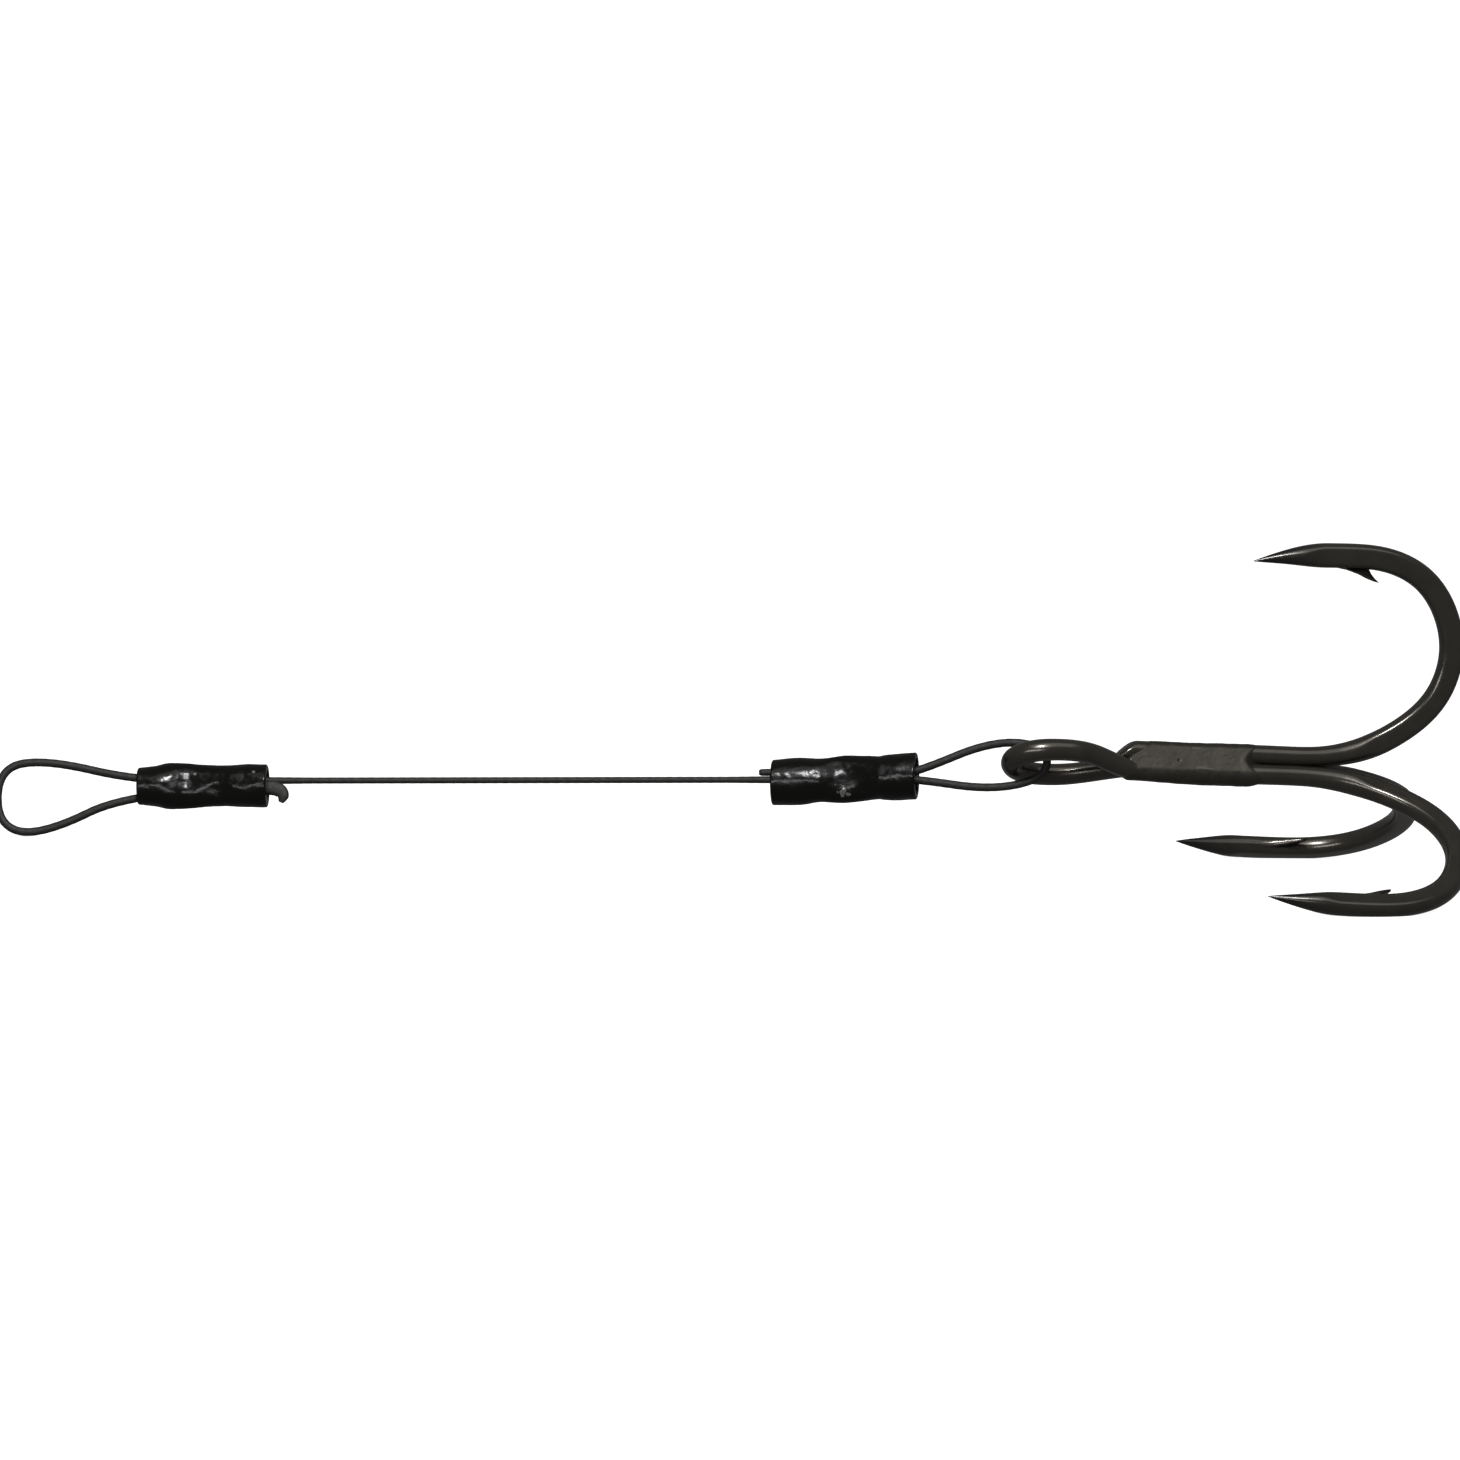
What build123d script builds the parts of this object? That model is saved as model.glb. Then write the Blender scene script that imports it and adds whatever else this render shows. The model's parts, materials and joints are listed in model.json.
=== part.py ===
from build123d import *
import math
import os

# Treble hook on a crimped cable trace. Millimetres, +Z up. +X runs from the rear loop
# towards the hook bends. The origin is on the floor under the middle of the treble.
os.makedirs("parts", exist_ok=True)

# ---------------------------------------------------------------- treble dimensions
WIRE_D = 1.38               # hook wire
SHANK_GAP = 0.01            # between neighbouring shanks, filled by braze
SINGLE_SHIFT = 0.6          # the brazed single hook sits this much further along
HOOK_START_X = 17.8         # the round, straight shanks end here
FORGED_IN_PLANE = 1.68      # the bend is forged: deeper in its plane
FORGED_ACROSS = 1.26        # and thinner across it
FORGE_START = 4.0           # distance from the shank's end where forging starts
FORGE_BLEND = 5.0           # and how long it takes to reach the full section
FORGE_END = 1.0             # it stops this far from the tip
FORGE_END_BLEND = 4.0
POINT_LENGTH = 5.2          # ground taper of the needle point
POINT_POWER = 1.9           # above 1, the taper is full and ends quickly
TIP_D = 0.05
WIRE_R = WIRE_D / 2
SHANK_RADIUS = (WIRE_D + SHANK_GAP) / math.sqrt(3)

# Centre line of one hook in its own plane: (along the shank, out from the axis).
HOOK_LINE = [
    (HOOK_START_X, SHANK_RADIUS),
    (20.8, 0.86),
    (23.6, 1.42),
    (26.4, 2.87),
    (28.55, 5.0),
    (29.5, 8.2),
    (28.95, 10.8),
    (27.2, 13.2),
    (24.6, 14.42),
    (21.3, 14.64),
    (18.0, 14.47),
    (15.2, 14.05),
]
HOOK_TANGENTS = [(1, 0, 0), (-1, 0, -0.16)]
HOOK_STATIONS = 44

BARB_THICKNESS = 0.52
BARB_OUTLINE = [(20.4, 14.4), (20.6, 13.86), (22.3, 13.56), (23.9, 12.86), (23.25, 13.5), (23.0, 14.4)]

# The eye: a twisted teardrop that both shanks of the double hook run into.
EYE_LENGTH = 2.5                        # half length of its round end
EYE_DROP = -0.17                        # its middle is this far off the shanks' axis
EYE_HALF_WIDTH = Vector(0, -1.55, 1.08)
EYE_ANGLES = (90, 55, 25, 0, -25, -55, -90)
EYE_END_X = 8.4                         # the two legs have become shanks here
NEAR_LEG = [(6.95, -0.90, 0.0), (5.5, -1.10, 0.55), (4.0, -1.42, 0.86)]
FAR_LEG = [(4.0, 1.40, -1.18), (5.5, 1.06, -0.92), (6.95, 0.79, -0.62)]
EYE_STATIONS = 60
EYE_WIRE_EXTRA = 0.14                   # the wire is this much thicker round the eye

SINGLE_START_X = 7.6        # cut end of the single hook's shank
SINGLE_CUT_ANGLE = 40       # degrees off square
CUTTER = (2, 4, 4)

BRAZE_X = (8.6, 17.3)       # where the braze coats the three shanks
BRAZE_COATS = (0.04, 0.26, 0.26)        # its thickness outside the upper and the two lower wires
BRAZE_EDGE = 0.02           # and at its two ends
BRAZE_STEP = 0.7            # length over which it gets to full thickness

# ---------------------------------------------------------------- trace dimensions
CABLE_D = 0.50              # nylon-coated cable
CORE_BORE = 0.378           # bore of the nylon jacket
CORE_D = 0.370              # envelope of the seven steel strands
FLEX_GAP = 0.25             # open gap where the cable flexes, inside the front sleeve
FLEX_X = 9.9                # where that gap starts
CORNER_SHARE = 0.45         # how much of a run each of its two corner arcs may take

# Routes in the trace's own plane: (distance from the eye, height).
TAG_Z = 0.40
MAIN_Z = -0.13
EYE_LOOP_Z = 1.05           # height of the loop's apex, which passes through the eye
APEX_BACK = 0.1             # it sits this far ahead of the round end's middle
REAR_TAG_Z = -0.53
FRONT_LOOP = [
    (FLEX_X, TAG_Z),
    (8.8, TAG_Z),
    (3.7, 2.55),
    (0.0, 2.15),
    (0.0, -0.05),
    (3.7, -0.90),
    (8.8, MAIN_Z),
    (FLEX_X, MAIN_Z),
]
FRONT_TAG = [(FLEX_X + FLEX_GAP, TAG_Z), (19.6, TAG_Z)]
MAIN_AND_REAR_LOOP = [
    (FLEX_X + FLEX_GAP, MAIN_Z),
    (61.9, 0.0),
    (68.3, 1.52),
    (71.45, 0.90),
    (71.45, -3.05),
    (68.5, -3.80),
    (61.9, REAR_TAG_Z),
    (52.0, REAR_TAG_Z),
]
REAR_LOOP_MIDDLE = (69.3, -1.05)
# Melted nylon on the rear tag end: (distance, height, radius) of its lumps.
REAR_BEAD = [(52.0, REAR_TAG_Z, 0.42), (51.6, -0.85, 0.42), (51.65, -1.15, 0.36)]

# Sleeves: front end, rear end, height of the axis, slope, lift of the bore.
FRONT_SLEEVE = (8.86, 18.68, -0.10, -0.40, 0.235)
REAR_SLEEVE = (53.1, 61.9, -0.37, 0.0, 0.105)
# Their sections: share of the length, outside height and depth, bore height and depth.
FRONT_CRIMP = [
    (0.0, 3.20, 3.00, 2.50, 2.30),
    (0.16, 3.16, 2.90, 2.20, 1.90),
    (0.36, 3.10, 2.35, 1.16, 0.60),
    (0.50, 3.25, 2.00, 1.12, 0.56),
    (0.62, 3.05, 2.30, 1.16, 0.60),
    (0.82, 3.20, 2.80, 1.70, 1.30),
    (1.0, 3.06, 2.90, 2.00, 1.60),
]
REAR_CRIMP = [
    (0.0, 2.90, 2.70, 1.90, 1.50),
    (0.20, 2.92, 2.60, 1.50, 1.10),
    (0.40, 2.82, 2.10, 1.16, 0.60),
    (0.55, 3.00, 1.90, 1.12, 0.56),
    (0.70, 3.18, 2.20, 1.16, 0.60),
    (0.86, 2.80, 2.55, 1.50, 1.10),
    (1.0, 2.52, 2.40, 1.80, 1.40),
]

# ---------------------------------------------------------------- resting pose, degrees
TREBLE_TILT = 2.3           # eye end up
TRACE_YAW = 22.0            # the trace leads away from the shank's line
TRACE_PITCH = 3.34          # and slopes down to its rear loop
TRACE_ROLL = 20.0           # the loop's plane leans, square to the eye's plane


def tube_loft(stations):
    """A solid through ellipses: (centre, tangent, across direction, across d, in-plane d)."""
    sections = []
    for centre, tangent, across, across_d, plane_d in stations:
        plane = Plane(origin=centre, x_dir=across, z_dir=tangent)
        sections.append(plane * Ellipse(across_d / 2, plane_d / 2))
    return loft(sections)


def rod_along_x(start_x, end_x, y, z):
    rod = Cylinder(WIRE_R, end_x - start_x, align=(Align.CENTER, Align.CENTER, Align.MIN))
    return Pos(start_x, y, z) * Rot(Y=90) * rod


# ---------------------------------------------------------------- treble
def forged_sizes(along, total):
    """Wire section at a distance from the shank end: (across, in plane)."""
    from_tip = total - along
    forge = min(1.0, max(0.0, (along - FORGE_START) / FORGE_BLEND))
    forge *= min(1.0, max(0.0, (from_tip - FORGE_END) / FORGE_END_BLEND))
    across = WIRE_D + (FORGED_ACROSS - WIRE_D) * forge
    in_plane = WIRE_D + (FORGED_IN_PLANE - WIRE_D) * forge
    if from_tip < POINT_LENGTH:
        bluntness = TIP_D / WIRE_D
        taper = bluntness + (1 - bluntness) * (1 - (1 - from_tip / POINT_LENGTH) ** POINT_POWER)
        across *= taper
        in_plane *= taper
    return across, in_plane


def hook_wire():
    """Bend, spear and needle point of one hook, in the upright XZ plane."""
    line = Spline(*[(x, 0, r) for x, r in HOOK_LINE], tangents=HOOK_TANGENTS)
    stations = []
    for i in range(HOOK_STATIONS + 1):
        share = i / HOOK_STATIONS
        across, in_plane = forged_sizes(share * line.length, line.length)
        stations.append((line @ share, line % share, (0, 1, 0), across, in_plane))
    return tube_loft(stations)


def barb():
    """Sliced barb on the inner side of the spear, its tip towards the bend."""
    outline = Polyline(*BARB_OUTLINE, close=True)
    return extrude(make_face(Plane.XZ * outline), BARB_THICKNESS / 2, both=True)


def whole_hook(start_x):
    return rod_along_x(start_x, HOOK_START_X, 0, SHANK_RADIUS) + hook_wire() + barb()


def eye():
    """Both shanks of the double hook twist up into one flattened loop."""
    shank_y = SHANK_RADIUS * math.sin(math.radians(60))
    shank_z = -SHANK_RADIUS / 2
    round_end = []
    for degrees in EYE_ANGLES:
        turn = math.radians(degrees)
        middle = Vector(EYE_LENGTH * (1 - math.cos(turn)), 0, EYE_DROP)
        round_end.append(middle + EYE_HALF_WIDTH * math.sin(turn))
    near_shank = (EYE_END_X, -shank_y, shank_z)
    far_shank = (EYE_END_X, shank_y, shank_z)
    line = Spline(near_shank, *NEAR_LEG, *round_end, *FAR_LEG, far_shank, tangents=[(-1, 0, 0), (1, 0, 0)])
    stations = []
    across = Vector(0, 0, 1)
    for i in range(EYE_STATIONS + 1):
        tangent = line % (i / EYE_STATIONS)
        across = (across - tangent * across.dot(tangent)).normalized()
        wire_d = WIRE_D + EYE_WIRE_EXTRA * math.sin(math.pi * i / EYE_STATIONS) ** 2
        stations.append((line @ (i / EYE_STATIONS), tangent, across, wire_d, wire_d))
    return tube_loft(stations)


def double_hook():
    near = Rot(X=120) * whole_hook(EYE_END_X)
    far = Rot(X=-120) * whole_hook(EYE_END_X)
    return near + far + eye()


def single_hook():
    hook = Pos(SINGLE_SHIFT, 0, 0) * whole_hook(SINGLE_START_X - SINGLE_SHIFT)
    cutter = Box(*CUTTER, align=(Align.MAX, Align.CENTER, Align.CENTER))
    return hook - Pos(SINGLE_START_X, 0, WIRE_D) * Rot(Y=SINGLE_CUT_ANGLE) * cutter


def braze():
    """Braze that wets the three shanks: a rounded triangle less the wires."""
    start_x, end_x = BRAZE_X
    shanks = []
    for degrees in (0, 120, 240):
        turn = math.radians(degrees)
        shanks.append((SHANK_RADIUS * math.sin(turn), SHANK_RADIUS * math.cos(turn)))
    sections = []
    edge = (BRAZE_EDGE, BRAZE_EDGE, BRAZE_EDGE)
    for coats, x in ((edge, start_x), (BRAZE_COATS, start_x + BRAZE_STEP),
                     (BRAZE_COATS, end_x - BRAZE_STEP), (edge, end_x)):
        lobes = Sketch() + [Pos(*shank) * Circle(WIRE_R + coat) for shank, coat in zip(shanks, coats)]
        plane = Plane(origin=(x, 0, 0), x_dir=(0, 1, 0), z_dir=(1, 0, 0))
        sections.append(plane * make_hull(lobes.edges()))
    body = loft(sections, ruled=True)
    for y, z in shanks:
        body -= rod_along_x(start_x - BRAZE_STEP, end_x + BRAZE_STEP, y, z)
    return body


# ---------------------------------------------------------------- cable and sleeves
def corner_radii(points):
    """Largest tangent arc at each corner that leaves both its runs some straight."""
    radii = []
    for before, here, after in zip(points, points[1:], points[2:]):
        back = Vector(before[0] - here[0], before[1] - here[1])
        ahead = Vector(after[0] - here[0], after[1] - here[1])
        half_turn = math.radians(180 - back.get_angle(ahead)) / 2
        radii.append(CORNER_SHARE * min(back.length, ahead.length) / math.tan(half_turn))
    return radii


def cable_tube(points, diameter, bore=0.0):
    """Straight runs joined by tangent arcs, in the trace's own XZ plane."""
    spots = [Vector(-distance, 0, height) for distance, height in points]
    radii = corner_radii(points)
    line = Line(*spots) if len(spots) == 2 else FilletPolyline(*spots, radius=radii)
    plane = Plane(origin=line @ 0, z_dir=line % 0)
    section = Circle(diameter / 2)
    tube = sweep(plane * section, path=line)
    print("cable length", round(line.length, 2), "corner radii", [round(radius, 2) for radius in radii])
    print("volume against section times length", round(tube.volume / (section.area * line.length), 4))
    if bore:
        tube -= sweep(plane * Circle(bore / 2), path=line)
    return tube


def rear_bead():
    """Melted nylon that closes the rear tag end, curled downwards."""
    bead = Part()
    for distance, height, radius in REAR_BEAD:
        bead += Pos(-distance, 0, height) * Sphere(radius)
    return bead


def sleeve(start, end, centre_z, slope, bore_lift, sections):
    """Crimp sleeve lofted through its sections, with one flattened bore for both legs."""
    outside = []
    inside = []
    for share, height, depth, bore_height, bore_depth in sections:
        x = -start - share * (end - start)
        around = Plane(origin=(x, 0, centre_z + slope * (share - 0.5)), x_dir=(0, 1, 0), z_dir=(-1, 0, 0))
        within = Plane(origin=(x, 0, centre_z + bore_lift), x_dir=(0, 1, 0), z_dir=(-1, 0, 0))
        outside.append(around * Ellipse(depth / 2, height / 2))
        inside.append(within * Ellipse(bore_depth / 2, bore_height / 2))
    return loft(outside) - loft(inside)


# ---------------------------------------------------------------- build, place and write
treble = {"double_hook": double_hook().solid(), "single_hook": single_hook().solid(), "braze": braze().solid()}
trace = {
    "front_loop_jacket": cable_tube(FRONT_LOOP, CABLE_D, CORE_BORE),
    "front_loop_core": cable_tube(FRONT_LOOP, CORE_D),
    "trace_jacket": Compound(children=[
        cable_tube(FRONT_TAG, CABLE_D, CORE_BORE),
        cable_tube(MAIN_AND_REAR_LOOP, CABLE_D, CORE_BORE) + rear_bead(),
    ]),
    "trace_core": Compound(children=[cable_tube(FRONT_TAG, CORE_D), cable_tube(MAIN_AND_REAR_LOOP, CORE_D)]),
    "front_sleeve": sleeve(*FRONT_SLEEVE, FRONT_CRIMP),
    "rear_sleeve": sleeve(*REAR_SLEEVE, REAR_CRIMP),
}

treble_tilt = Rot(Y=TREBLE_TILT)
box = Compound(children=[treble_tilt * shape for shape in treble.values()]).bounding_box()
home = Pos(-(box.min.X + box.max.X) / 2, -(box.min.Y + box.max.Y) / 2, -box.min.Z)
treble_place = home * treble_tilt
apex = (treble_place * Pos(EYE_LENGTH - APEX_BACK, 0, EYE_DROP)).position
trace_turn = Rot(Z=-TRACE_YAW) * Rot(Y=-TRACE_PITCH) * Rot(X=-TRACE_ROLL)
trace_place = Pos(*apex) * trace_turn * Pos(0, 0, -EYE_LOOP_Z)
for pieces, place in ((treble, treble_place), (trace, trace_place)):
    for name, shape in pieces.items():
        placed = place * shape
        export_step(placed, "parts/" + name + ".step")
        print(name, placed.is_valid, round(placed.volume, 3), "lowest", round(placed.bounding_box().min.Z, 3))
flex_joint = trace_place * Pos(-FLEX_X, 0, (TAG_Z + MAIN_Z) / 2)
rear_loop = trace_place * Pos(-REAR_LOOP_MIDDLE[0], 0, REAR_LOOP_MIDDLE[1])
print("eye joint", apex)
print("flex joint", flex_joint.position, "rear loop", rear_loop.position)
print("lateral axis", (trace_turn * Pos(0, 1, 0)).position, "home", home.position)
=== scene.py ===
import json
import math

import bpy
import numpy as np
from mathutils import Matrix, Vector, noise


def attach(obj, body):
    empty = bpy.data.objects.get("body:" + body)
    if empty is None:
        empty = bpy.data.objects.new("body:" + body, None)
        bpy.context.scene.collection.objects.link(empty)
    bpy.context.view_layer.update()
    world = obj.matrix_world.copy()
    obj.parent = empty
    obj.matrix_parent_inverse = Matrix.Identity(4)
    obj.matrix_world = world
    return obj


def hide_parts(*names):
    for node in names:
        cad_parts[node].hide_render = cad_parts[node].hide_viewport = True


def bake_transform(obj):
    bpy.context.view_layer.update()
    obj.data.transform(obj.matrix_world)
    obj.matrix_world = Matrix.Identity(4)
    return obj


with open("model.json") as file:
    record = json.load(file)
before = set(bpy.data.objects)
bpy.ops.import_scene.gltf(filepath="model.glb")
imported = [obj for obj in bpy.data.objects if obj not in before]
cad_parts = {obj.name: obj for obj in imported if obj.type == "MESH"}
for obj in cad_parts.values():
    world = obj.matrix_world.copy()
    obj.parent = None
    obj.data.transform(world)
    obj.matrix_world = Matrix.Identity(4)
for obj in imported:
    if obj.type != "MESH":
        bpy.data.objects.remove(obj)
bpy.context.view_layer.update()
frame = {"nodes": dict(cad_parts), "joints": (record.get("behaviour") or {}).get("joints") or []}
MM = 0.001
THIRD_TURN = math.radians(120)

# ---------------------------------------------------------------- dimensions, millimetres
WIRE_D = 1.38
SHANK_RADIUS = 0.8025
SINGLE_SHIFT = 0.6
SINGLE_START_X = 7.6
SLANT = 1.08                # its cut end leans forward by this much of its height
SLANT_BACK = 0.7
SLANT_FADE = 2.4
RIM_LENGTH = 0.25
RIM_INSET = 0.10
HOOK_START_X = 17.8
FORGED_IN_PLANE = 1.68
FORGED_ACROSS = 1.26
FORGE_START, FORGE_RISE = 2.5, 5.0      # along the hook, from its shank
FORGE_STOP, FORGE_FALL = 1.0, 4.0       # back from its tip
POINT_LENGTH = 5.2
TIP_D = 0.05
HOOK_LINE = [
    (HOOK_START_X, SHANK_RADIUS), (20.8, 0.86), (23.6, 1.42), (26.4, 2.87), (28.55, 5.0), (29.5, 8.2),
    (28.95, 10.8), (27.2, 13.2), (24.6, 14.42), (21.3, 14.64), (18.0, 14.47), (15.2, 14.05),
]
BARB_ROOT = 14.4
BARB_TIP = 12.88
BARB_THIN, BARB_THICK = 0.192, 0.552
BARB_OUTLINE = [
    (19.8, BARB_ROOT), (20.0, 13.88), (20.9, 13.84), (21.7, 13.70), (22.5, 13.44), (23.2, 13.12),
    (23.7, 12.95), (24.05, BARB_TIP), (23.75, 13.12), (23.45, 13.45), (23.2, 13.85), (23.1, BARB_ROOT),
]

EYE_JOINT = (2.4, 0, -0.17)
EYE_LENGTH = 2.5
EYE_HALF_WIDTH = (0, -1.55, 1.08)
EYE_END_X = 8.4
EYE_WIRE_EXTRA = 0.14
EYE_START = 8.0             # shank left between a hook and the eye's thicker wire
NEAR_LEG = [(6.95, -0.90, 0.0), (5.5, -1.10, 0.55), (4.0, -1.42, 0.86)]
FAR_LEG = [(4.0, 1.40, -1.18), (5.5, 1.06, -0.92), (6.95, 0.79, -0.62)]
BRAZE_X = (8.6, 17.3)
BRAZE_FORWARD, BRAZE_SLANT = 1.5, 1.7   # it starts further forward than BRAZE_X, except on the slanted end
BRAZE_TONGUE, BRAZE_NOTCH = 0.5, 0.7    # and runs back along the wires, but stops short in the grooves
BRAZE_RISE, BRAZE_FALL = 0.8, 1.2
BRAZE_SAG = 0.24                        # how much thicker it hangs under the lower wires
SAG_MIDDLE, SAG_SPREAD = 192, 42        # degrees round from the top
DRIP_X, DRIP_LENGTH = 16.3, 0.7
BRAZE_RIPPLE, BRAZE_GRAIN = 0.022, 0.007
# (x, degrees round from the top, size)
BRAZE_PITS = [(11.35, 292, 0.16), (13.55, 252, 0.24), (14.3, 30, 0.15), (12.2, 160, 0.2), (10.4, 75, 0.16)]
PIT_DEPTH = 0.07

CABLE_D = 0.50
LOOP_SWELL = 0.13           # the coat is fuller in the loops, and drawn thin between the sleeves
SWELL_FADE = 3.0
STRANDS, LAY_LENGTH, RIDGE_SHARE = 6, 4.2, 0.016
EYE_LOOP_Z = 1.05
TAG_Z = 0.40
MAIN_Z = -0.13
REAR_TAG_Z = -0.53
FRONT_MOUTH_X = 8.86
CABLE_ROUTE = [
    (19.6, TAG_Z), (9.9, TAG_Z), (8.8, TAG_Z), (3.7, 2.55), (0.0, 2.15), (0.0, -0.05), (3.7, -0.90),
    (8.8, MAIN_Z), (10.15, MAIN_Z), (13.0, -0.123), (55.5, -0.016), (61.9, 0.0), (68.3, 1.52),
    (71.45, 0.90), (71.45, -3.05),
    (68.5, -3.80), (61.9, REAR_TAG_Z), (52.0, REAR_TAG_Z),
]
MELT_PATH = [(-53.8, 0, -0.50), (-53.0, 0, -0.50), (-52.40, 0, -0.62), (-52.05, 0, -0.95), (-52.15, 0, -1.52)]
MELT_WIDTHS = [0.60, 0.90, 1.02, 1.0, 0.94, 0.80, 0.34]
MELT_DEPTHS = [0.5, 0.62, 0.72, 0.66, 0.58, 0.50, 0.26]
# Start, end, centre height, slope, and the bore's lift.
FRONT_SLEEVE = (FRONT_MOUTH_X, 18.68, -0.10, -0.40, 0.235)
REAR_SLEEVE = (53.1, 61.9, -0.37, 0.0, 0.105)
RIM_ROUND, RIM_DEPTH = 0.07, 0.09
# Share of the length, outside height and depth, bore height and depth.
FRONT_CRIMP = [
    (0.0, 3.20, 3.00, 2.50, 2.30), (0.16, 3.16, 2.90, 2.20, 1.90), (0.36, 3.10, 2.35, 1.16, 0.60),
    (0.50, 3.25, 2.00, 1.12, 0.56), (0.62, 3.05, 2.30, 1.16, 0.60), (0.82, 3.20, 2.80, 1.70, 1.30),
    (1.0, 3.06, 2.90, 2.00, 1.60),
]
REAR_CRIMP = [
    (0.0, 2.90, 2.70, 1.90, 1.50), (0.20, 2.92, 2.60, 1.50, 1.10), (0.40, 2.82, 2.10, 1.16, 0.60),
    (0.55, 3.00, 1.90, 1.12, 0.56), (0.70, 3.18, 2.20, 1.16, 0.60), (0.86, 2.80, 2.55, 1.50, 1.10),
    (1.0, 2.52, 2.40, 1.80, 1.40),
]
# Tool marks on the sleeves: share of the length, degrees round from the top, depth, length, width in degrees.
FRONT_DENTS = [
    (0.44, 95, 0.16, 0.9, 26), (0.56, 60, 0.10, 0.6, 20), (0.36, 130, 0.12, 0.7, 22),
    (0.66, 100, -0.06, 0.5, 16),
    (0.50, 275, 0.14, 1.0, 30), (0.24, 60, 0.05, 0.9, 24), (0.78, 125, 0.05, 0.8, 26),
]
REAR_DENTS = [
    (0.36, 110, 0.14, 0.8, 24), (0.60, 85, 0.10, 0.7, 20), (0.72, 120, -0.07, 0.6, 22),
    (0.50, 270, 0.14, 0.9, 28),
    (0.16, 80, 0.05, 0.7, 22), (0.86, 60, 0.05, 0.7, 20),
]
# Paint worn to bright metal: share of the length, degrees round from the top, size.
FRONT_WORN = [(0.50, 130, 0.20), (0.47, 138, 0.12)]
REAR_WORN = [(0.55, 62, 0.07), (0.09, 60, 0.08)]

# ---------------------------------------------------------------- pose and camera
TREBLE_TILT = 2.3
TRACE_YAW = 22.0
TRACE_PITCH = 3.34
TRACE_ROLL = 20.0
CAMERA_AZIMUTH = -15.5
CAMERA_ELEVATION = 8.0
CAMERA_ROLL = 4.3
FRAME_WIDTH = 0.0987
CAMERA_AIM = (-0.02143, 0.00215)        # the eye is this far right of and below the picture's middle
CAMERA_DISTANCE = 0.6


def turn(degrees, axis):
    return Matrix.Rotation(math.radians(degrees), 4, axis)


joint_at = Vector(frame["joints"][0]["pos_m"])
tilt = turn(TREBLE_TILT, "Y")
TREBLE = (
    Matrix.Translation(joint_at) @ tilt @ Matrix.Translation(-MM * Vector(EYE_JOINT)) @ Matrix.Scale(MM, 4)
)
TRACE = (
    Matrix.Translation(joint_at) @ turn(-TRACE_YAW, "Z") @ turn(-TRACE_PITCH, "Y") @ turn(-TRACE_ROLL, "X")
    @ Matrix.Translation((0, 0, -EYE_LOOP_Z * MM)) @ Matrix.Scale(MM, 4)
)


def to_row(matrix, points):
    """Millimetre points of a piece's own frame, as metres in the row frame."""
    rotation = np.array(matrix)[:3, :3]
    return np.asarray(points, float) @ rotation.T + np.array(matrix)[:3, 3]


# ---------------------------------------------------------------- curves and meshes
def path_length(path):
    return np.concatenate([[0.0], np.cumsum(np.linalg.norm(np.diff(path, axis=0), axis=1))])


def resample(path, spacing):
    along = path_length(path)
    wanted = np.linspace(0, along[-1], max(2, round(along[-1] / spacing)) + 1)
    return np.stack([np.interp(wanted, along, path[:, i]) for i in range(path.shape[1])], axis=1)


def smooth_path(points, spacing, steps=60):
    """An even walk along the natural cubic spline through the points."""
    points = np.array(points, float)
    knots = path_length(points)
    gaps = np.diff(knots)
    count = len(points)
    system = np.eye(count)
    slopes = np.zeros_like(points)
    for i in range(1, count - 1):
        system[i, i - 1:i + 2] = gaps[i - 1], 2 * (gaps[i - 1] + gaps[i]), gaps[i]
        ahead = (points[i + 1] - points[i]) / gaps[i]
        slopes[i] = 6 * (ahead - (points[i] - points[i - 1]) / gaps[i - 1])
    bend = np.linalg.solve(system, slopes)
    walk = []
    for i in range(count - 1):
        t = np.linspace(0, 1, steps, endpoint=i == count - 2)[:, None]
        cubic = ((1 - t) ** 3 - (1 - t)) * bend[i] + (t ** 3 - t) * bend[i + 1]
        walk.append((1 - t) * points[i] + t * points[i + 1] + cubic * gaps[i] ** 2 / 6)
    return resample(np.concatenate(walk), spacing)


def unit(vectors):
    return vectors / np.linalg.norm(vectors, axis=-1, keepdims=True)


def side_frames(path, first_side):
    """Side and inward direction at each point, without twist."""
    tangents = unit(np.gradient(path, axis=0))
    side = np.array(first_side, float)
    sides = []
    for tangent in tangents:
        side = unit(side - tangent * (side @ tangent))
        sides.append(side)
    sides = np.array(sides)
    return sides, np.cross(tangents, sides)


def ring_mesh(name, rings, matrix, closed=False):
    """A skin over rings of points, (rings, around, 3). Its ends are capped unless it closes on itself."""
    count, around = rings.shape[:2]
    faces = []
    for i in range(count if closed else count - 1):
        here, ahead = i * around, (i + 1) % count * around
        for j in range(around):
            k = (j + 1) % around
            faces.append((here + j, here + k, ahead + k, ahead + j))
    if not closed:
        faces.append(tuple(range(around))[::-1])
        faces.append(tuple((count - 1) * around + j for j in range(around)))
    mesh = bpy.data.meshes.new(name)
    mesh.from_pydata(to_row(matrix, rings.reshape(-1, 3)).tolist(), [], faces)
    mesh.polygons.foreach_set("use_smooth", [True] * len(faces))
    mesh.update()
    piece = bpy.data.objects.new(name, mesh)
    bpy.context.scene.collection.objects.link(piece)
    return piece


def paint(piece, name, values):
    """Stores one number per vertex, which the material reads."""
    attribute = piece.data.attributes.new(name, "FLOAT", "POINT")
    attribute.data.foreach_set("value", np.asarray(values, np.float32).ravel())


def join(name, pieces):
    bpy.ops.object.select_all(action="DESELECT")
    for piece in pieces:
        piece.select_set(True)
    bpy.context.view_layer.objects.active = pieces[0]
    bpy.ops.object.join()
    pieces[0].name = name
    return pieces[0]


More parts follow.
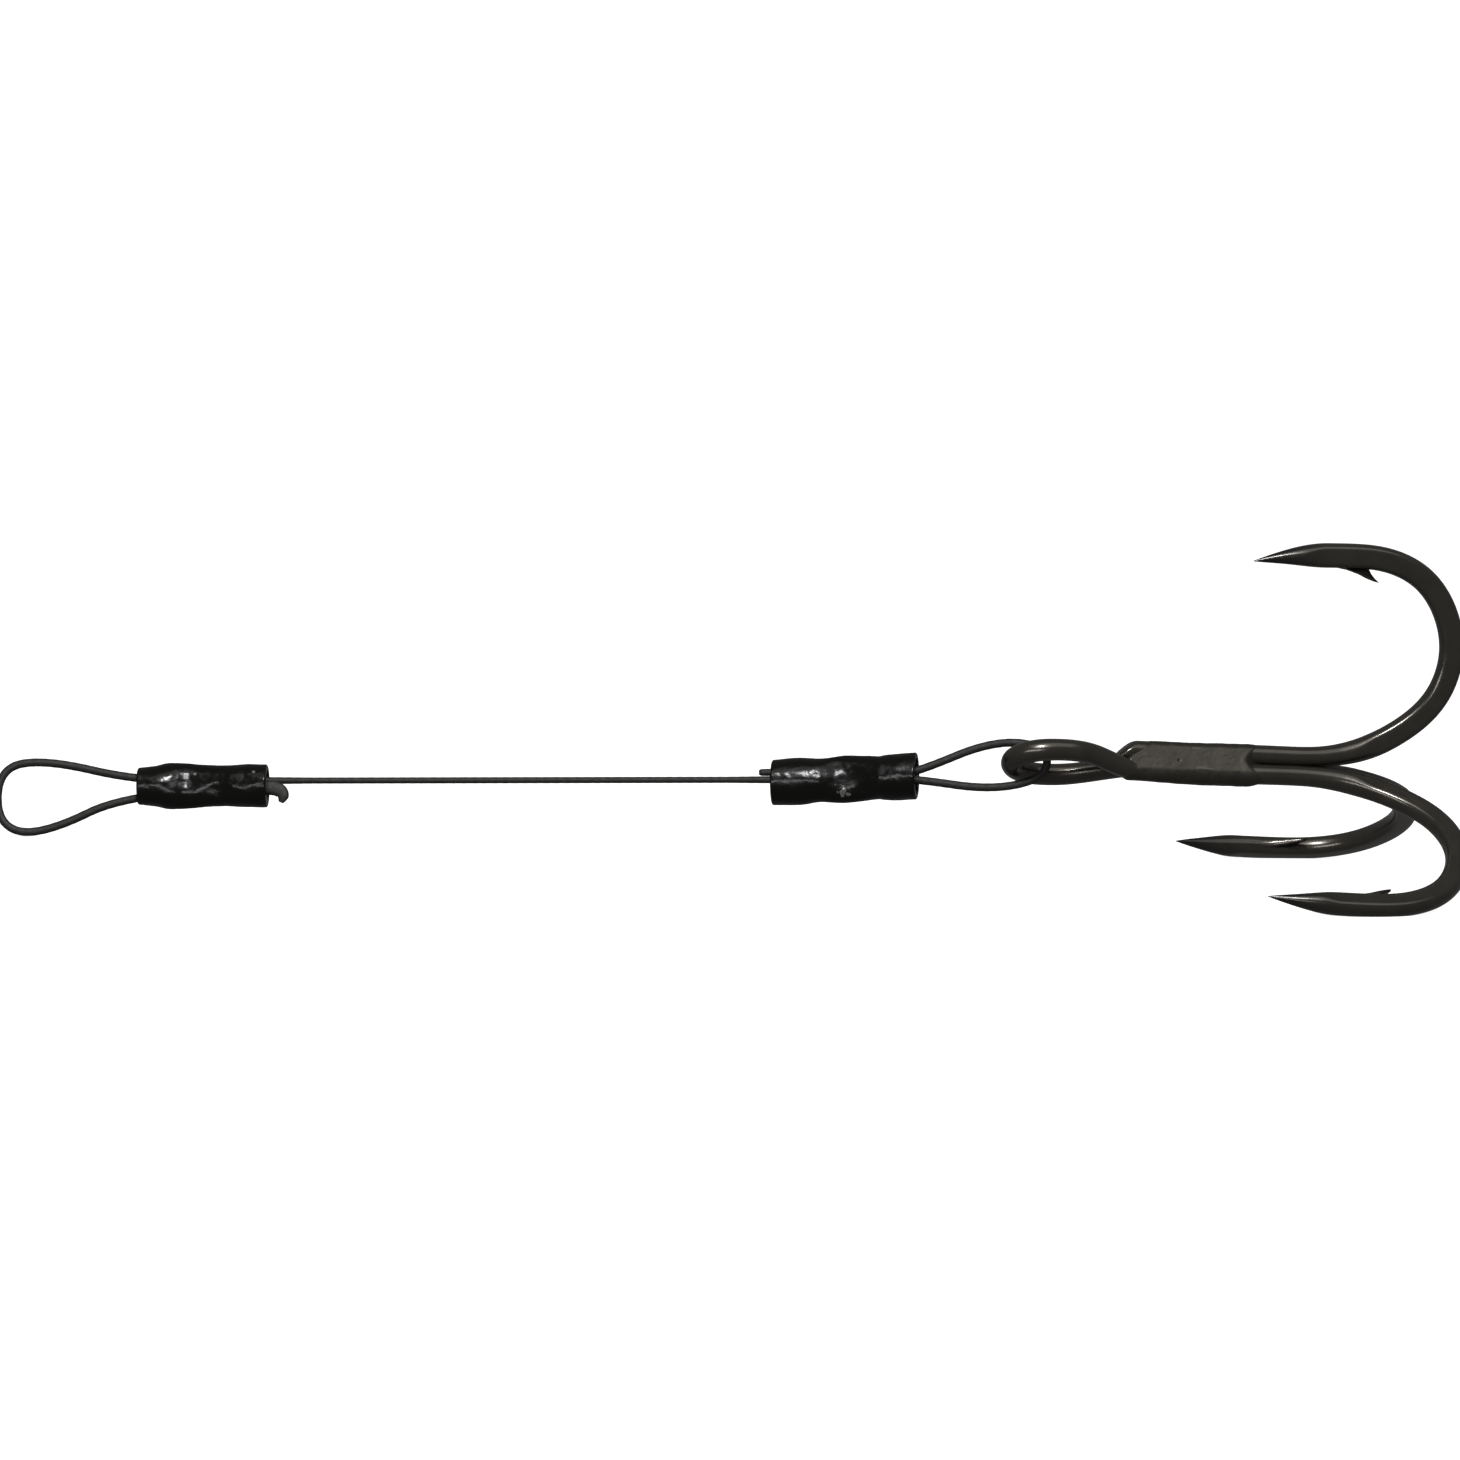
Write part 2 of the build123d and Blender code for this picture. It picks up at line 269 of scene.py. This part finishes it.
# ---------------------------------------------------------------- materials
def new_material(name, base_color, metallic, roughness):
    material = bpy.data.materials.new(name)
    material.use_nodes = True
    shader = material.node_tree.nodes["Principled BSDF"]
    shader.inputs["Base Color"].default_value = (*base_color, 1)
    shader.inputs["Metallic"].default_value = metallic
    shader.inputs["Roughness"].default_value = roughness
    return material, material.node_tree, shader


def texture(tree, scale, detail=3.0, stretch=None):
    """Noise in the row frame, scale in waves per metre."""
    place = tree.nodes.new("ShaderNodeTexCoord")
    mapping = tree.nodes.new("ShaderNodeMapping")
    mapping.inputs["Scale"].default_value = stretch or (1, 1, 1)
    node = tree.nodes.new("ShaderNodeTexNoise")
    node.inputs["Scale"].default_value = scale
    node.inputs["Detail"].default_value = detail
    tree.links.new(place.outputs["Object"], mapping.inputs["Vector"])
    tree.links.new(mapping.outputs["Vector"], node.inputs["Vector"])
    return node.outputs["Fac"]


def ramp(tree, source, stops):
    node = tree.nodes.new("ShaderNodeValToRGB")
    while len(node.color_ramp.elements) < len(stops):
        node.color_ramp.elements.new(0.5)
    for element, (position, color) in zip(node.color_ramp.elements, stops):
        element.position = position
        element.color = (*color, 1)
    tree.links.new(source, node.inputs["Fac"])
    return node.outputs["Color"]


def spread(tree, source, low, high):
    """Maps 0.3..0.7, where noise mostly lies, to low..high."""
    node = tree.nodes.new("ShaderNodeMapRange")
    node.inputs["From Min"].default_value = 0.3
    node.inputs["From Max"].default_value = 0.7
    node.inputs["To Min"].default_value = low
    node.inputs["To Max"].default_value = high
    tree.links.new(source, node.inputs["Value"])
    return node.outputs["Result"]


def bump(tree, shader, source, height, before=None):
    node = tree.nodes.new("ShaderNodeBump")
    node.inputs["Strength"].default_value = 1.0
    node.inputs["Distance"].default_value = height
    tree.links.new(source, node.inputs["Height"])
    if before is not None:
        tree.links.new(before, node.inputs["Normal"])
    tree.links.new(node.outputs["Normal"], shader.inputs["Normal"])
    return node.outputs["Normal"]


def attribute(tree, name):
    node = tree.nodes.new("ShaderNodeAttribute")
    node.attribute_name = name
    return node.outputs["Fac"]


def mix(tree, factor, first, second):
    node = tree.nodes.new("ShaderNodeMix")
    node.data_type = "RGBA"
    for value, index in ((first, 6), (second, 7)):
        if isinstance(value, tuple):
            node.inputs[index].default_value = (*value, 1)
        else:
            tree.links.new(value, node.inputs[index])
    tree.links.new(factor, node.inputs[0])
    return node.outputs[2]


def hook_steel():
    """Black nickel over forged wire: warm dark grey, with the ground points almost black."""
    material, tree, shader = new_material("black_nickel", (0.05, 0.045, 0.038), 0.75, 0.22)
    cloudy = ramp(tree, texture(tree, 700), [(0.3, (0.052, 0.047, 0.039)), (0.7, (0.066, 0.060, 0.050))])
    color = mix(tree, attribute(tree, "ground"), cloudy, (0.018, 0.017, 0.016))
    tree.links.new(color, shader.inputs["Base Color"])
    tree.links.new(spread(tree, texture(tree, 1500, 5), 0.19, 0.27), shader.inputs["Roughness"])
    shader.inputs["Coat Weight"].default_value = 0.5
    shader.inputs["Coat Roughness"].default_value = 0.18
    fine = bump(tree, shader, texture(tree, 9000, 2), 0.0000015)
    bump(tree, shader, texture(tree, 500, 1, (0.3, 1, 1)), 0.00001, fine)
    return material


def braze_metal():
    """Plating over braze: the same colour, duller, with ripples and a few pits, the pits' colour darkened to
    near black as painted shade.
    """
    material, tree, shader = new_material("plated_braze", (0.05, 0.045, 0.038), 0.75, 0.3)
    cloudy = ramp(tree, texture(tree, 900, 5), [(0.3, (0.046, 0.042, 0.035)), (0.7, (0.058, 0.053, 0.044))])
    # painted shade: where the pit mask is set, the colour goes to near black for the shade inside the pits
    color = mix(tree, attribute(tree, "pit"), cloudy, (0.006, 0.006, 0.006))
    tree.links.new(color, shader.inputs["Base Color"])
    tree.links.new(spread(tree, texture(tree, 2500, 5), 0.28, 0.40), shader.inputs["Roughness"])
    fine = bump(tree, shader, texture(tree, 5000, 3), 0.000006)
    bump(tree, shader, texture(tree, 1100, 3, (0.5, 1, 1)), 0.00003, fine)
    return material


def nylon():
    """Matte dark grey nylon over laid strands."""
    material, tree, shader = new_material("nylon_coat", (0.03, 0.03, 0.029), 0.0, 0.6)
    color = ramp(tree, texture(tree, 1800), [(0.35, (0.012, 0.012, 0.0115)), (0.65, (0.018, 0.018, 0.017))])
    tree.links.new(color, shader.inputs["Base Color"])
    tree.links.new(spread(tree, texture(tree, 4000), 0.5, 0.68), shader.inputs["Roughness"])
    shader.inputs["Specular IOR Level"].default_value = 0.35
    bump(tree, shader, texture(tree, 12000, 3), 0.000006)
    return material


def sleeve_paint():
    """Gloss black on copper: orange-peel, worn to bright metal on the crimp's corner."""
    material, tree, shader = new_material("black_sleeve", (0.003, 0.003, 0.0026), 0.0, 0.14)
    worn = attribute(tree, "worn")
    color = mix(tree, worn, (0.0028, 0.0026, 0.0022), (0.42, 0.41, 0.38))
    tree.links.new(color, shader.inputs["Base Color"])
    tree.links.new(worn, shader.inputs["Metallic"])
    shader.inputs["Specular IOR Level"].default_value = 0.28
    tree.links.new(spread(tree, texture(tree, 2600, 4), 0.16, 0.28), shader.inputs["Roughness"])
    peel = bump(tree, shader, texture(tree, 3000, 2, (0.8, 1, 1)), 0.00002)
    bump(tree, shader, texture(tree, 700, 2), 0.00006, peel)
    return material


def bare_strand():
    material, tree, shader = new_material("strand_steel", (0.42, 0.42, 0.41), 1.0, 0.3)
    tree.links.new(spread(tree, texture(tree, 6000), 0.22, 0.4), shader.inputs["Roughness"])
    bump(tree, shader, texture(tree, 15000, 2), 0.000004)
    return material


HOOK = hook_steel()
BRAZE = braze_metal()
NYLON = nylon()
SLEEVE = sleeve_paint()
STRAND = bare_strand()
CAD_MATERIALS = {
    "double_hook": HOOK, "single_hook": HOOK, "braze": BRAZE, "front_sleeve": SLEEVE, "rear_sleeve": SLEEVE,
    "front_loop_jacket": NYLON, "trace_jacket": NYLON, "front_loop_core": STRAND, "trace_core": STRAND,
}
for node, material in CAD_MATERIALS.items():
    frame["nodes"][node].data.materials.clear()
    frame["nodes"][node].data.materials.append(material)


def finish_piece(piece, material, slot, body, *nodes):
    piece.data.materials.clear()
    piece.data.materials.append(material)
    if body:
        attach(piece, body)
    if nodes:
        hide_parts(*nodes)
    return piece


# ---------------------------------------------------------------- hooks
def hook_points(degrees, shift=0.0):
    """The hook's centre line, from its shank to its tip, turned round the shank's axis."""
    angle = math.radians(degrees)
    return [(x + shift, -r * math.sin(angle), r * math.cos(angle)) for x, r in HOOK_LINE]


HOOK_LENGTH = path_length(smooth_path(hook_points(0), 0.1))[-1]


def forged_ring(path, sides, inwards, from_tip, extra=0.0, around=40):
    """Rings round the wire: round on the shank, flat-sided where forged, drawn to the ground point."""
    angle = np.linspace(0, 2 * math.pi, around, endpoint=False)
    along = HOOK_LENGTH - from_tip
    forge = np.clip((along - FORGE_START) / FORGE_RISE, 0, 1)
    forge = forge * np.clip((from_tip - FORGE_STOP) / FORGE_FALL, 0, 1)
    forge = forge * forge * (3 - 2 * forge)
    radius = (WIRE_D + extra + (FORGED_IN_PLANE - WIRE_D) * forge) / 2
    left = np.clip(from_tip / POINT_LENGTH, 0, 1)
    taper = TIP_D / WIRE_D + (1 - TIP_D / WIRE_D) * (1 - (1 - left) ** 1.9)
    across = np.cos(angle)[None] * radius[:, None]
    flat = FORGED_ACROSS / 2 * (1 + 1.6 * (1 - forge))[:, None]
    across = across / (1 + np.abs(across / flat) ** 8) ** 0.125
    in_plane = np.sin(angle)[None] * radius[:, None]
    ring = across[..., None] * sides[:, None] + in_plane[..., None] * inwards[:, None]
    return path[:, None] + ring * taper[:, None, None]


def barb(name, degrees, shift=0.0):
    """The sliced barb: a curved sliver, thinner to its tip, with softened edges."""
    rings = []
    for half, grow in ((-1.0, -0.035), (-0.85, 0.0), (0.85, 0.0), (1.0, -0.035)):
        ring = []
        for x, r in BARB_OUTLINE:
            thickness = BARB_THIN + (BARB_THICK - BARB_THIN) * min(1.0, r - BARB_TIP)
            ring.append((x + shift, half * thickness / 2, r - grow))
        rings.append(ring)
    angle = math.radians(degrees)
    rings = np.array(rings)
    x, y, z = np.moveaxis(rings, -1, 0)
    cosine, sine = math.cos(angle), math.sin(angle)
    rings = np.stack([x, y * cosine - z * sine, y * sine + z * cosine], axis=-1)
    return ring_mesh(name, rings, TREBLE)


def ground_share(from_tip, around=40):
    share = np.clip(1.25 - from_tip / 4.6, 0, 1) ** 1.2
    return np.repeat(share, around)


def eye_points():
    round_end = []
    for degrees in (90, 55, 25, 0, -25, -55, -90):
        angle = math.radians(degrees)
        middle = Vector((EYE_LENGTH * (1 - math.cos(angle)), 0, EYE_JOINT[2]))
        round_end.append(tuple(middle + Vector(EYE_HALF_WIDTH) * math.sin(angle)))
    return NEAR_LEG + round_end + FAR_LEG


def double_hook():
    """One wire from the near point, up its shank, round the eye and down to the far point."""
    shank_y = SHANK_RADIUS * math.sin(THIRD_TURN)
    shank_z = -SHANK_RADIUS / 2
    near_shank = [(x, -shank_y, shank_z) for x in (14.6, 11.2, EYE_END_X)]
    far_shank = [(x, shank_y, shank_z) for x in (EYE_END_X, 11.2, 14.6)]
    points = hook_points(120)[::-1] + near_shank + eye_points() + far_shank + hook_points(-120)
    path = smooth_path(points, 0.11)
    along = path_length(path)
    sides, inwards = side_frames(path, (0, math.cos(THIRD_TURN), math.sin(THIRD_TURN)))
    wanted = unit(np.array((0, math.cos(THIRD_TURN), -math.sin(THIRD_TURN))))
    miss = math.atan2(wanted @ inwards[-1], wanted @ sides[-1])
    start, end = HOOK_LENGTH + EYE_START, along[-1] - HOOK_LENGTH - EYE_START
    twist = miss * np.clip((along - start) / (end - start), 0, 1)[:, None]
    turned = np.cos(twist) * sides + np.sin(twist) * inwards
    inwards = np.cos(twist) * inwards - np.sin(twist) * sides
    from_tip = np.minimum(along, along[-1] - along)
    round_eye = np.clip((along - start) / (end - start), 0, 1)
    extra = EYE_WIRE_EXTRA * np.sin(math.pi * round_eye) ** 2
    piece = ring_mesh("double_hook_wire", forged_ring(path, turned, inwards, from_tip, extra), TREBLE)
    paint(piece, "ground", ground_share(from_tip))
    return join("double_hook_wire", [piece, barb("near_barb", 120), barb("far_barb", -120)])


def single_hook():
    """The third hook: its shank's end is cut on the slant."""
    shank = [(x, 0, SHANK_RADIUS) for x in (SINGLE_START_X, 10.5, 14.2)]
    path = smooth_path(shank + hook_points(0, SINGLE_SHIFT), 0.11)
    along = path_length(path)
    sides, inwards = side_frames(path, (0, 1, 0))
    from_tip = along[-1] - along
    rings = forged_ring(path, sides, inwards, from_tip)
    height = rings[..., 2] - SHANK_RADIUS + WIRE_D / 2
    reach = np.clip(1 - (rings[..., 0] - SINGLE_START_X) / SLANT_FADE, 0, 1) ** 1.5
    rings[..., 0] += reach * (SLANT * height - SLANT_BACK)
    rim = np.clip(1 - (path[:, 0] - SINGLE_START_X) / RIM_LENGTH, 0, 1)[:, None, None]
    rings = rings + rim * RIM_INSET * (path[:, None] - rings)
    piece = ring_mesh("single_hook_wire", rings, TREBLE)
    paint(piece, "ground", ground_share(from_tip))
    return join("single_hook_wire", [piece, barb("single_barb", 0, SINGLE_SHIFT)])


def triangle_reach(angles, radius):
    """How far the rounded hull of three wires reaches from the axis, at each angle round it."""
    corners = [np.array((SHANK_RADIUS * math.sin(a), SHANK_RADIUS * math.cos(a)))
               for a in (0, math.radians(120), math.radians(240))]
    low, high = np.zeros_like(angles), np.full_like(angles, 4.0)
    heading = np.stack([np.sin(angles), np.cos(angles)], axis=-1)
    for _ in range(30):
        middle = (low + high) / 2
        spot = heading * middle[..., None]
        gap = np.full_like(angles, 9.0)
        for first, second in zip(corners, corners[1:] + corners[:1]):
            edge = second - first
            share = np.clip((spot - first) @ edge / (edge @ edge), 0, 1)
            gap = np.minimum(gap, np.linalg.norm(spot - first - share[..., None] * edge, axis=-1))
        inside = middle < SHANK_RADIUS / 2
        too_far = (gap > radius) & ~inside
        high = np.where(too_far, middle, high)
        low = np.where(too_far, low, middle)
    return low


def braze():
    """Braze that ran round the three shanks: full and uneven, thin at its ends, with a few pits."""
    stations, around = 150, 120
    share = np.linspace(0, 1, stations)[:, None]
    angle = np.linspace(0, 2 * math.pi, around, endpoint=False)[None] + 0 * share
    groove = 0.5 - 0.5 * np.cos(3 * angle)
    start = BRAZE_X[0] - BRAZE_FORWARD + BRAZE_SLANT * np.clip(np.cos(angle), 0, 1) ** 3
    end = BRAZE_X[1] + BRAZE_TONGUE - BRAZE_NOTCH * groove
    x = start + share * (end - start)
    rise = np.clip((x - start) / BRAZE_RISE, 0, 1)
    fall = np.clip((end - x) / BRAZE_FALL, 0, 1)
    full = np.minimum(rise * rise * (3 - 2 * rise), fall * fall * (3 - 2 * fall))
    drip = np.exp(-((x - DRIP_X) / DRIP_LENGTH) ** 2) * (1 + np.sin(angle + 2.6)) / 2
    swell = 0.03 * np.sin(0.9 * x + angle) + 0.05 * drip
    lower = np.exp(-((angle - math.radians(SAG_MIDDLE)) / math.radians(SAG_SPREAD)) ** 2)
    swell_on = np.clip((x - start) / 6.0, 0, 1) * np.clip((end - x) / 1.3, 0, 1) ** 0.7
    sag = BRAZE_SAG * lower * swell_on
    sunk = 0.08 + 0.18 * (1 - rise) + 0.50 * groove * (1 - full)
    reach = triangle_reach(angle, WIRE_D / 2) + (0.10 + 0.5 * swell) * full + sag - sunk
    rough = np.zeros_like(reach)
    for i in range(stations):
        for j in range(around):
            spot = Vector((x[i, j] * 1.1, 2.2 * math.sin(angle[i, j]), 2.2 * math.cos(angle[i, j])))
            rough[i, j] = noise.noise(spot * 1.3) * BRAZE_RIPPLE + noise.noise(spot * 4.0) * BRAZE_GRAIN
    reach += rough * np.clip(full, 0, 1)
    pit = np.zeros_like(reach)
    for pit_x, pit_angle, size in BRAZE_PITS:
        away = (angle - math.radians(pit_angle) + math.pi) % (2 * math.pi) - math.pi
        pit = np.maximum(pit, np.exp(-((x - pit_x) ** 2 + (away * 1.5) ** 2) / (size / 2) ** 2))
    reach -= PIT_DEPTH * pit
    rings = np.stack([x, reach * np.sin(angle), reach * np.cos(angle)], axis=-1)
    piece = ring_mesh("braze_coat", rings[:, ::-1], TREBLE)
    # the pit mask also drives the painted shade that darkens the pits in the braze material
    paint(piece, "pit", pit[:, ::-1])
    return piece


finish_piece(double_hook(), HOOK, "hook_steel", "treble", "double_hook")
finish_piece(single_hook(), HOOK, "hook_steel", "treble", "single_hook")
finish_piece(braze(), BRAZE, "braze", "treble", "braze")


# ---------------------------------------------------------------- cable
def nurbs_walk(points):
    """Points along the NURBS spline that has these control points, millimetres in the trace's frame."""
    data = bpy.data.curves.new("route", "CURVE")
    data.dimensions = "3D"
    spline = data.splines.new("NURBS")
    spline.points.add(len(points) - 1)
    for point, (distance, height) in zip(spline.points, points):
        point.co = (-distance, 0, height, 1)
    spline.order_u = 3
    spline.use_endpoint_u = True
    spline.resolution_u = 60
    route = bpy.data.objects.new("route", data)
    mesh = bpy.data.meshes.new_from_object(route)
    walk = np.array([vertex.co for vertex in mesh.vertices])
    bpy.data.objects.remove(route)
    bpy.data.meshes.remove(mesh)
    return walk


def cable():
    """The nylon-coated cable, from its front tag round both loops, with the strands' lay showing through."""
    path = resample(nurbs_walk(CABLE_ROUTE), 0.14)
    sides, inwards = side_frames(path, (0, 1, 0))
    along = path_length(path)
    angle = np.linspace(0, 2 * math.pi, 24, endpoint=False)
    lay = np.cos(STRANDS * (angle[None] - 2 * math.pi * along[:, None] / LAY_LENGTH))
    ends = np.minimum(along, along[-1] - along)[:, None]
    run_start, run_end = FRONT_SLEEVE[1], REAR_SLEEVE[0]
    past_run = np.abs(-path[:, 0] - (run_start + run_end) / 2) - (run_end - run_start) / 2
    fuller = 1 + LOOP_SWELL * np.clip(past_run / SWELL_FADE, -1, 1)[:, None]
    ridged = 1 + RIDGE_SHARE * (lay - 1)
    cut_edge = 0.72 + 0.28 * np.clip(ends / 0.14, 0, 1)
    radius = CABLE_D / 2 * fuller * ridged * cut_edge
    ring = np.cos(angle)[None, :, None] * sides[:, None] + np.sin(angle)[None, :, None] * inwards[:, None]
    piece = ring_mesh("trace_cable", path[:, None] + ring * radius[..., None], TRACE)
    return piece, to_row(TRACE, path)


def swept_lump(name, points, widths, depths, around=32):
    """A closed soft form along a path, given its width in the trace's plane and its depth across it."""
    path = smooth_path(points, 0.03)
    share = np.linspace(0, 1, len(path))
    stops = np.linspace(0, 1, len(widths))
    wide, deep = np.interp(share, stops, widths), np.interp(share, stops, depths)
    sides, inwards = side_frames(path, (0, 1, 0))
    angle = np.linspace(0, 2 * math.pi, around, endpoint=False)
    across, along = (np.sign(wave) * np.abs(wave) ** 0.75 for wave in (np.cos(angle), np.sin(angle)))
    ring = (across[None, :, None] * sides[:, None] * deep[:, None, None] / 2
            + along[None, :, None] * inwards[:, None] * wide[:, None, None] / 2)
    return ring_mesh(name, path[:, None] + ring, TRACE)


# ---------------------------------------------------------------- sleeves
def sleeve(name, size, sections, dents, worn_spots, seed):
    """A crimped sleeve: rounded rims, an open bore, squeezed in the middle, with the tool's marks."""
    start, end, centre_z, slope, bore_lift = size
    length = end - start
    stations, around = 150, 128
    angle = np.linspace(0, 2 * math.pi, around, endpoint=False)
    table = np.array(sections)
    curve = smooth_path(table, 0.01)
    share = np.linspace(0, 1, stations)
    columns = (np.interp(share, curve[:, 0], curve[:, i]) for i in (1, 2, 3, 4))
    height, depth, bore_height, bore_depth = columns
    rim = np.minimum(share, 1 - share) * length
    round_over = RIM_ROUND * (1 - np.sqrt(1 - np.clip(1 - rim / RIM_DEPTH, 0, 1) ** 2))
    outside, inside, worn = [], [], []
    for i in range(stations):
        middle = centre_z + slope * (share[i] - 0.5)
        scale = 1 - 2 * round_over[i] / height[i]
        push = np.zeros(around)
        wear = np.zeros(around)
        for at, degrees, deep, long, wide in dents:
            away = (angle - math.radians(degrees) + math.pi) % (2 * math.pi) - math.pi
            lengthwise = (share[i] - at) * length / long
            push += deep * np.exp(-lengthwise ** 2 - (away / math.radians(wide)) ** 2)
        for j in range(around):
            spot = Vector((share[i] * length, 1.5 * math.sin(angle[j]), 1.5 * math.cos(angle[j])))
            push[j] += 0.030 * noise.noise(spot * 0.9 + Vector((seed, 0, 0)))
            push[j] += 0.012 * noise.noise(spot * 2.6 + Vector((seed, 7, 0)))
            for at, degrees, size_mm in worn_spots:
                away = (angle[j] - math.radians(degrees) + math.pi) % (2 * math.pi) - math.pi
                near = math.hypot((share[i] - at) * length, away * 1.5) / size_mm
                wear[j] = max(wear[j], 1.3 - near + 1.6 * noise.noise(spot * 5.0 + Vector((seed, 3, 1))))
        shrink = np.clip(push, -0.06, 0.3)
        y = -np.sin(angle) * (depth[i] / 2 * scale - shrink)
        z = np.cos(angle) * (height[i] / 2 * scale - shrink)
        x = np.full(around, -start - share[i] * length)
        bore_y = -np.sin(angle) * bore_depth[i] / 2
        bore_z = np.cos(angle) * bore_height[i] / 2 + centre_z + bore_lift
        outside.append(np.stack([x, y, z + middle], axis=-1))
        inside.append(np.stack([x, bore_y, bore_z], axis=-1))
        worn.append(np.clip(wear * 3, 0, 1))
    rings = np.array(outside + inside[::-1])
    piece = ring_mesh(name, rings[:, ::-1], TRACE, closed=True)
    paint(piece, "worn", np.concatenate([np.array(worn), np.zeros((stations, around))])[:, ::-1])
    return piece


front = sleeve("front_crimp_sleeve", FRONT_SLEEVE, FRONT_CRIMP, FRONT_DENTS, FRONT_WORN, seed=2.0)
rear = sleeve("rear_crimp_sleeve", REAR_SLEEVE, REAR_CRIMP, REAR_DENTS, REAR_WORN, seed=11.0)
finish_piece(front, SLEEVE, "sleeve", "trace", "front_sleeve")
finish_piece(rear, SLEEVE, "sleeve", "trace", "rear_sleeve")

melt = swept_lump("melted_tag", MELT_PATH, MELT_WIDTHS, MELT_DEPTHS)
finish_piece(melt, NYLON, "nylon", "trace")

line, line_path = cable()
finish_piece(line, NYLON, "nylon", None, "front_loop_jacket", "front_loop_core", "trace_jacket", "trace_core")
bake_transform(line)

# ---------------------------------------------------------------- floor, light and camera
floor_mesh = bpy.data.meshes.new("floor")
floor_mesh.from_pydata([(-2, -2, 0), (2, -2, 0), (2, 2, 0), (-2, 2, 0)], [], [(0, 1, 2, 3)])
floor = bpy.data.objects.new("floor", floor_mesh)
bpy.context.scene.collection.objects.link(floor)
floor_material, floor_tree, floor_shader = new_material("pale_floor", (0.4, 0.4, 0.4), 0.0, 0.9)
floor_shader.inputs["Specular IOR Level"].default_value = 0.0
floor_shader.inputs["Emission Color"].default_value = (1, 1, 1, 1)
floor_shader.inputs["Emission Strength"].default_value = 0.95
floor_mesh.materials.append(floor_material)
floor.visible_glossy = False
floor.visible_diffuse = False

world = bpy.data.worlds.new("studio")
bpy.context.scene.world = world
world.use_nodes = True
world.node_tree.nodes["Background"].inputs["Color"].default_value = (0.85, 0.85, 0.84, 1)
world.node_tree.nodes["Background"].inputs["Strength"].default_value = 0.16


def light(name, spot, aim, width, height, power):
    data = bpy.data.lights.new(name, "AREA")
    data.shape = "RECTANGLE"
    data.size = width
    data.size_y = height
    data.energy = power
    lamp = bpy.data.objects.new(name, data)
    lamp.location = spot
    lamp.rotation_euler = (Vector(aim) - Vector(spot)).to_track_quat("-Z", "Y").to_euler()
    bpy.context.scene.collection.objects.link(lamp)


light("key", (-0.14, -0.34, 0.42), (-0.02, 0, 0.01), 0.09, 0.09, 2.2)
light("strip", (-0.34, -0.56, 0.14), (-0.03, 0, 0.01), 0.42, 0.07, 0.8)
light("overhead", (0.0, -0.34, 0.62), (0, 0, 0), 0.9, 0.5, 1.3)

azimuth, elevation = math.radians(CAMERA_AZIMUTH), math.radians(CAMERA_ELEVATION)
level = math.cos(elevation)
back = Vector((math.sin(azimuth) * level, -math.cos(azimuth) * level, math.sin(elevation)))
right = Vector((math.cos(azimuth), math.sin(azimuth), 0))
up = back.cross(right)
facing = tilt.to_3x3() @ Matrix((right, up, back)).transposed() @ turn(CAMERA_ROLL, "Z").to_3x3()
camera_data = bpy.data.cameras.new("camera")
camera_data.type = "ORTHO"
camera_data.ortho_scale = FRAME_WIDTH
camera = bpy.data.objects.new("camera", camera_data)
middle = joint_at + facing @ Vector((CAMERA_AIM[0], CAMERA_AIM[1], 0))
camera.matrix_world = Matrix.Translation(middle + facing @ Vector((0, 0, CAMERA_DISTANCE))) @ facing.to_4x4()
bpy.context.scene.collection.objects.link(camera)
bpy.context.scene.camera = camera
bpy.context.scene.view_settings.view_transform = "Standard"
